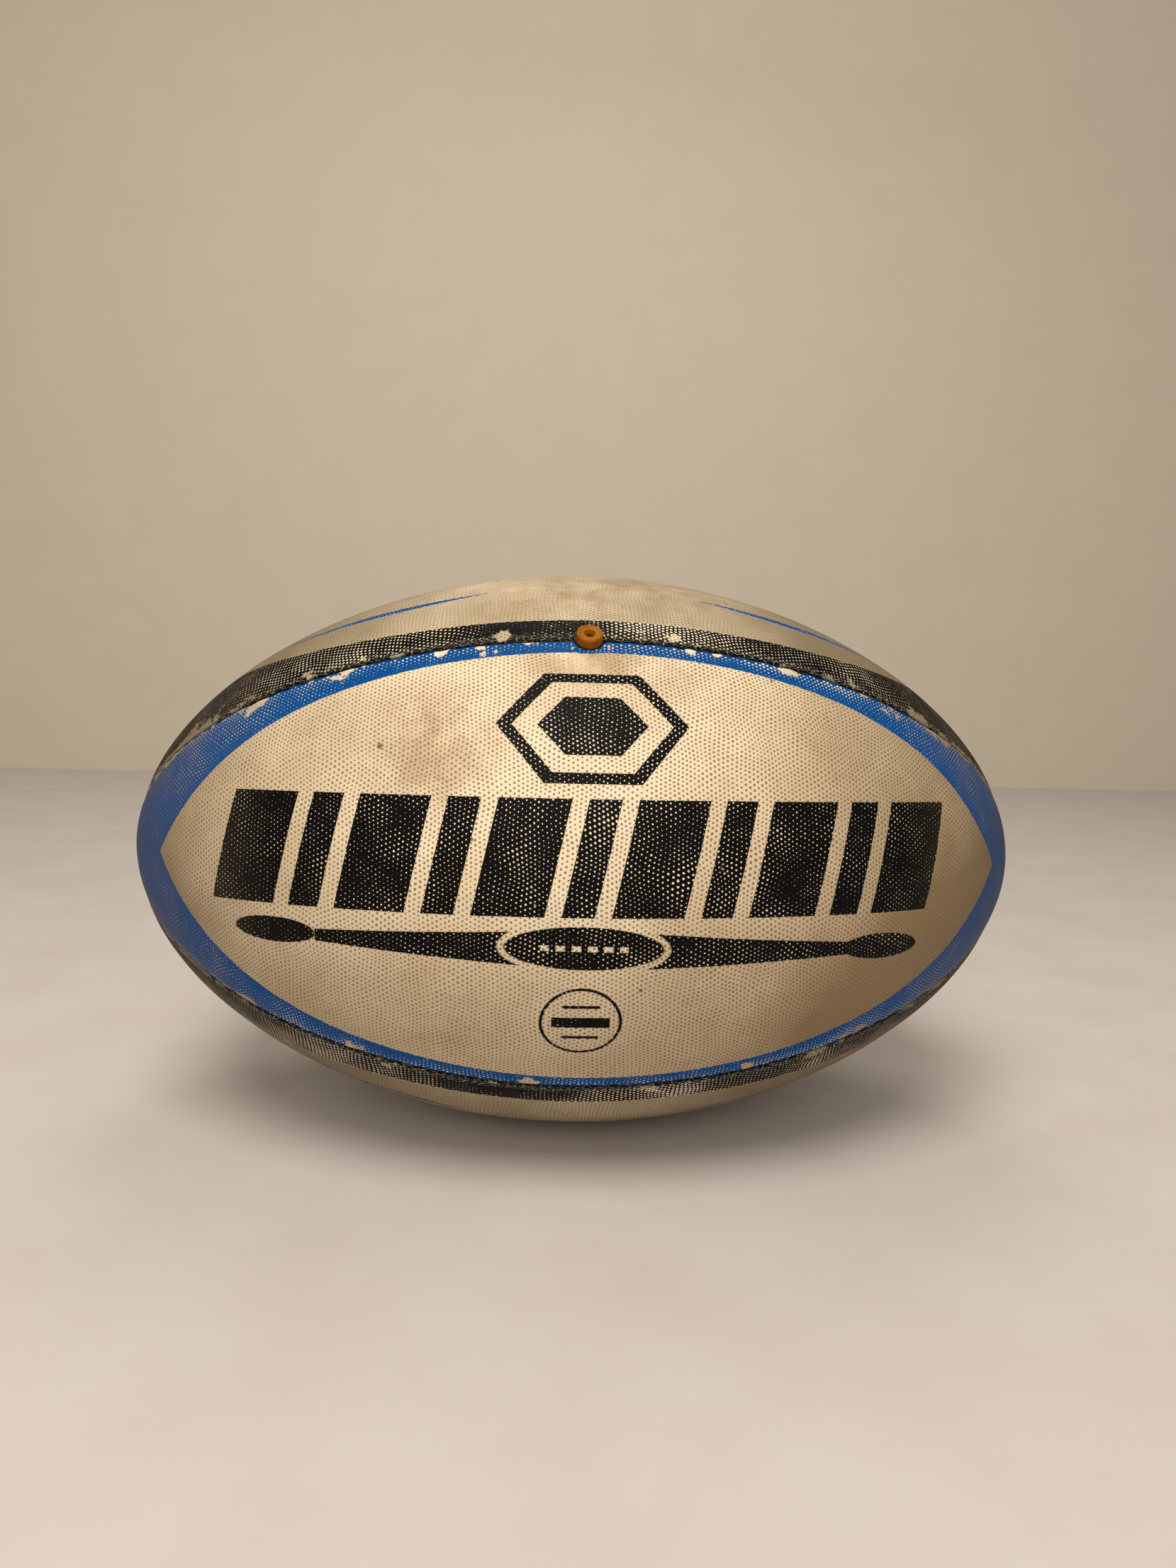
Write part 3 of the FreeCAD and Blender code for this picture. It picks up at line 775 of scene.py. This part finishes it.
def panel_material(name, prints, marks, soil_and_shade, seam_wear):
    """Printed, pimpled and worn rubber.

    marks holds the lists of marks. The next argument is the colour of the grime and painted shade,
    how much of it there is everywhere, and the side of the mid-line that has more painted shade.
    seam_wear is how much larger the bare pimple tops are beside a seam.
    """
    paint = Paint(name)
    at = RubberPoint(paint)
    black, blue = prints(at.along, at.across, at.edge)
    black = black + at.wobble
    blue = blue + at.wobble
    in_black = inked(black)
    in_blue = inked(blue)
    printed = in_blue.higher(in_black)
    bare_top = bare_tops(at, marks, blue, seam_wear)
    kept = (1 - scuffed_ink(at, marks)) * (1 - bare_top * 0.95)
    colour = soiled_and_shaded_rubber(paint, at, marks, soil_and_shade)
    colour = paint.mix(printed * bare_top * at.to_tip.ramp(150, 60), colour, WORN_TOP)
    colour = paint.mix(in_blue * kept, colour, BLUE_INK)
    colour = paint.mix(in_black * kept, colour, BLACK_INK)
    cracks = paint.cells_at(at.along / 2.6, at.edge / 0.8 + (at.patchy - 0.5) * 5).ramp(0.07, 0.03)
    cracked = cracks * at.edge.ramp(3.6, 2.2) * at.fine.ramp(0.40, 0.52) * in_black
    colour = paint.mix(cracked * 0.8, colour, CRACK)
    # grime on both tips, with painted shade there as well
    colour = paint.mix(at.to_tip.ramp(92, 150) * (0.25 + at.patchy * 0.5), colour, TIP_GRIME_AND_SHADE)
    colour = paint.mix(near_any(marks["specks"], at.along, at.across) * 0.85, colour, SPECK)
    # painted shade in the seam groove and round the valve's hole: the rubber's rim there is near black
    colour = paint.mix(at.lip.ramp(0.9, 0.1) * 0.92, colour, BLACK_INK)
    ink = printed * kept
    height = at.fine * 0.5 + at.wear - cracked
    return paint.finish(colour, 0.60 - ink * 0.12, height, 0.12, specular=0.22 - ink * 0.16)


def plain_material(name, first, second, grain, roughness, height_mm):
    """A material of two close colours mixed by noise, with the same noise as its grain."""
    paint = Paint(name)
    noise = paint.noise(grain, 4)
    colour = paint.mix(noise.ramp(0.35, 0.65), first, second)
    return paint.finish(colour, roughness, noise, height_mm)


def fabric_material():
    """The coarse plain weave of the plies, in the ball's own directions."""
    paint = Paint("ply_fabric")
    split = paint.tree.nodes.new("ShaderNodeSeparateXYZ")
    paint.tree.links.new(paint.position(), split.inputs[0])
    x, y, z = (Value(paint.tree, pin) for pin in split.outputs)
    thread = 2 * math.pi / (0.9 * MM)
    warp = (x * thread).math("SINE")
    weft = ((y + z) * thread).math("SINE")
    weave = (warp * weft) * 0.5 + 0.5
    colour = paint.mix(weave, (188, 178, 150), (214, 206, 182))
    return paint.finish(colour, 0.85, weave, 0.2)


def valve_material():
    """Amber latex rubber, darker in places, with a soft sheen."""
    paint = Paint("valve_rubber")
    noise = paint.noise(2.2, 3)
    grime = paint.noise(0.9, 4, offset=2.0).ramp(0.56, 0.72)
    colour = paint.mix(noise.ramp(0.3, 0.7), (160, 98, 6), (136, 78, 3))
    colour = paint.mix(grime * 0.6, colour, (96, 50, 6))
    paint.shader.inputs["Subsurface Weight"].default_value = 0.25
    paint.shader.inputs["Subsurface Radius"].default_value = (0.8, 0.4, 0.1)
    paint.shader.inputs["Subsurface Scale"].default_value = 1.2 * MM
    return paint.finish(colour, 0.46, noise, 0.04, specular=0.1)


# the valve plug from the floor of its needle channel, over its head and down to the end of its stem, as
# (radius, height from the top)
PLUG_PROFILE = [
    (0.0, -12.0), (1.05, -12.0), (1.1, -11.9), (1.1, -1.6), (1.14, -1.3), (1.35, -1.0),
    (1.6, -0.72), (1.66, -0.5), (1.72, -0.36), (1.86, -0.30), (2.2, -0.33), (2.6, -0.32),
    (2.86, -0.24), (3.02, -0.08), (3.14, -0.01), (3.3, 0.0), (3.52, -0.06), (3.74, -0.24),
    (3.86, -0.5), (3.9, -0.8), (3.9, -1.5), (3.86, -1.66), (3.74, -1.76), (3.74, -1.9),
    (3.84, -2.0), (3.88, -2.2), (3.88, -3.1), (3.8, -3.28), (3.6, -3.3), (2.6, -3.3),
    (2.45, -3.4), (2.45, -18.6), (2.3, -18.8), (0.0, -18.8),
]
PLUG_SIDES = 96
NOTCH_DEPTH = 0.30
NOTCH_ANGLE = 310
NOTCH_WIDTH = 7
NOTCH_LOWEST = -1.6
NOTCH_INNERMOST = 3


def valve_place(frame):
    """The middle of the plug's top, and the direction that the plug is pulled in."""
    joint = next(item for item in frame["joints"] if item["name"] == "valve_pull")
    axis = Vector(joint["axis"]).normalized()
    points = np.array([point.co for point in frame["nodes"]["valve_plug"].data.vertices])
    top = float((points @ np.array(axis)).max())
    centre = (Vector(points.min(0).tolist()) + Vector(points.max(0).tolist())) / 2
    return centre + axis * (top - centre.dot(axis)), axis


def rim_notch(angle, radius, height):
    """How deep the worn notch in the side of the head is at a point."""
    if height <= NOTCH_LOWEST or radius <= NOTCH_INNERMOST:
        return 0
    return NOTCH_DEPTH * math.exp(-(((math.degrees(angle) - NOTCH_ANGLE) / NOTCH_WIDTH) ** 2))


def build_valve(frame, material):
    """The valve plug: a head with a raised rim, a dished face and a moulding line, on its stem."""
    top, axis = valve_place(frame)
    side = Vector((1, 0, 0))
    other = axis.cross(side)
    vertices = []
    for turn in range(PLUG_SIDES):
        angle = 2 * math.pi * turn / PLUG_SIDES
        outwards = math.cos(angle) * side + math.sin(angle) * other
        for radius, height in PLUG_PROFILE:
            out = (radius - rim_notch(angle, radius, height)) * MM
            vertices.append(tuple(top + axis * height * MM + out * outwards))
    rows = len(PLUG_PROFILE)
    faces = []
    for turn in range(PLUG_SIDES):
        here = turn * rows
        there = (turn + 1) % PLUG_SIDES * rows
        faces += [(here + k, there + k, there + k + 1, here + k + 1) for k in range(rows - 1)]
    mesh = bpy.data.meshes.new("valve")
    mesh.from_pydata(vertices, [], faces)
    mesh.materials.append(material)
    mesh.polygons.foreach_set("use_smooth", np.ones(len(faces), bool))
    shape = bmesh.new()
    shape.from_mesh(mesh)
    bmesh.ops.remove_doubles(shape, verts=shape.verts, dist=1e-6)
    bmesh.ops.recalc_face_normals(shape, faces=shape.faces)
    shape.to_mesh(mesh)
    shape.free()
    valve = bpy.data.objects.new("valve", mesh)
    bpy.context.scene.collection.objects.link(valve)
    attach(valve, "valve_plug")
    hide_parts("valve_plug")


def dress_cad_nodes(nodes):
    """Materials for the CAD nodes that stay shown."""
    rubber = plain_material("bladder_rubber", (46, 44, 42), (60, 56, 52), 6, 0.6, 0.05)
    patch = plain_material("patch_rubber", (120, 62, 40), (136, 76, 50), 4, 0.65, 0.05)
    thread = plain_material("waxed_thread", (222, 214, 190), (196, 184, 152), 0.7, 0.5, 0.08)
    fabric = fabric_material()
    by_start = {
        "outer_ply": fabric,
        "inner_ply": fabric,
        "thread": thread,
        "bladder": rubber,
        "valve_patch": patch,
        "balance_patch": patch,
        "valve_housing": rubber,
    }
    for name, node in nodes.items():
        for start, material in by_start.items():
            if name.startswith(start):
                node.data.materials.clear()
                node.data.materials.append(material)


# ---------------------------------------------------------------- stage, lights and camera


def add_sheet(name, size, place, turned, tones):
    """One flat square of the stage, lying or, with a turn of 90 degrees, standing."""
    half = size / 2
    corners = [(-half, -half, 0), (half, -half, 0), (half, half, 0), (-half, half, 0)]
    mesh = bpy.data.meshes.new(name)
    mesh.from_pydata(corners, [], [(0, 1, 2, 3)])
    sheet = bpy.data.objects.new(name, mesh)
    sheet.location = place
    sheet.rotation_euler = (math.radians(turned), 0, 0)
    bpy.context.scene.collection.objects.link(sheet)
    mesh.materials.append(plain_material(f"{name}_paint", *tones, 60, 0.9, 0.05))


def add_stage(low):
    """A pale floor under the ball, and a pale wall well behind it."""
    add_sheet("floor", 4.0, (0, 0, low), 0, ((207, 201, 199), (202, 195, 192)))
    add_sheet("wall", 6.0, (0, 1.1, 0), 90, ((216, 207, 191), (214, 205, 189)))


def add_area_light(name, place, target, size, power, colour):
    """A round light that shines from its place towards a target."""
    lamp = bpy.data.lights.new(name, "AREA")
    lamp.shape = "DISK"
    lamp.size = size
    lamp.energy = power
    lamp.color = colour
    holder = bpy.data.objects.new(name, lamp)
    holder.location = place
    holder.rotation_euler = (Vector(target) - Vector(place)).to_track_quat("-Z", "Y").to_euler()
    bpy.context.scene.collection.objects.link(holder)


def add_lights():
    """A key light high in front, a weaker one below it, one from behind and one on the wall."""
    warm = (1.0, 0.93, 0.83)
    add_area_light("key", (-0.14, -0.66, 1.12), (0, 0, 0), 0.7, 13, warm)
    add_area_light("front", (-0.10, -1.36, 0.62), (0, 0, 0), 0.9, 7, warm)
    add_area_light("behind", (0.10, 0.55, 1.10), (0, 0, 0), 0.5, 2.0, warm)
    add_area_light("wall_wash", (0, 0.45, 1.75), (0, 1.1, 0.9), 0.4, 1.6, warm)
    world = bpy.data.worlds.new("room")
    world.use_nodes = True
    glow = world.node_tree.nodes["Background"]
    glow.inputs["Color"].default_value = (1.0, 0.90, 0.76, 1)
    glow.inputs["Strength"].default_value = 0.27
    bpy.context.scene.world = world
    bpy.context.scene.view_settings.view_transform = "Standard"


def add_camera():
    """Near and almost level, from a little to the left of the middle, and tilted by 1.55 degrees."""
    target = Vector((2.65, 0, 21.9)) * MM
    distance = 382.2 * MM
    elevation, azimuth, roll = (math.radians(angle) for angle in (6.31, -3.68, 1.55))
    level = math.cos(elevation)
    back = Vector((math.sin(azimuth) * level, -math.cos(azimuth) * level, math.sin(elevation)))
    level_right = Vector((0, 0, 1)).cross(back).normalized()
    level_up = back.cross(level_right)
    right = math.cos(roll) * level_right + math.sin(roll) * level_up
    up = math.cos(roll) * level_up - math.sin(roll) * level_right
    lens = bpy.data.cameras.new("camera")
    lens.sensor_width = 36
    lens.lens = 24.97
    camera = bpy.data.objects.new("camera", lens)
    turn = Matrix((right, up, back)).transposed().to_4x4()
    camera.matrix_world = Matrix.Translation(target + back * distance) @ turn
    bpy.context.scene.collection.objects.link(camera)
    bpy.context.scene.camera = camera


with open("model.json") as file:
    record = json.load(file)
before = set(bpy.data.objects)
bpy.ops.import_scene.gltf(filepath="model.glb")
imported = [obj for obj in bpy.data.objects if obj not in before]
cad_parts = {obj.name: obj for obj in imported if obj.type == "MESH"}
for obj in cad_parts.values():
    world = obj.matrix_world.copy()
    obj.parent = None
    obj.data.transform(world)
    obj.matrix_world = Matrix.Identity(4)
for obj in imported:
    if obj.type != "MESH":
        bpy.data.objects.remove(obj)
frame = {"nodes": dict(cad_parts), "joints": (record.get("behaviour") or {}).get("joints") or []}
cad_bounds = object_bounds()
outline = Outline()
grid = PanelGrid(outline)
front_rubber = panel_material("front_rubber", front_print, FRONT_MARKS, FRONT_SOIL_AND_SHADE, 0.24)
top_rubber = panel_material("top_rubber", top_print, TOP_MARKS, TOP_SOIL_AND_SHADE, -0.12)
cover_inside = plain_material("cover_inside", (196, 182, 150), (180, 164, 130), 3, 0.8, 0.1)
for panel_name in PANEL_ANGLES:
    outside = front_rubber if panel_name in ("front", "back") else top_rubber
    build_panel(panel_name, outline, grid, outside, cover_inside)
build_valve(frame, valve_material())
dress_cad_nodes(frame["nodes"])
add_stage(cad_bounds[0].z)
add_lights()
add_camera()
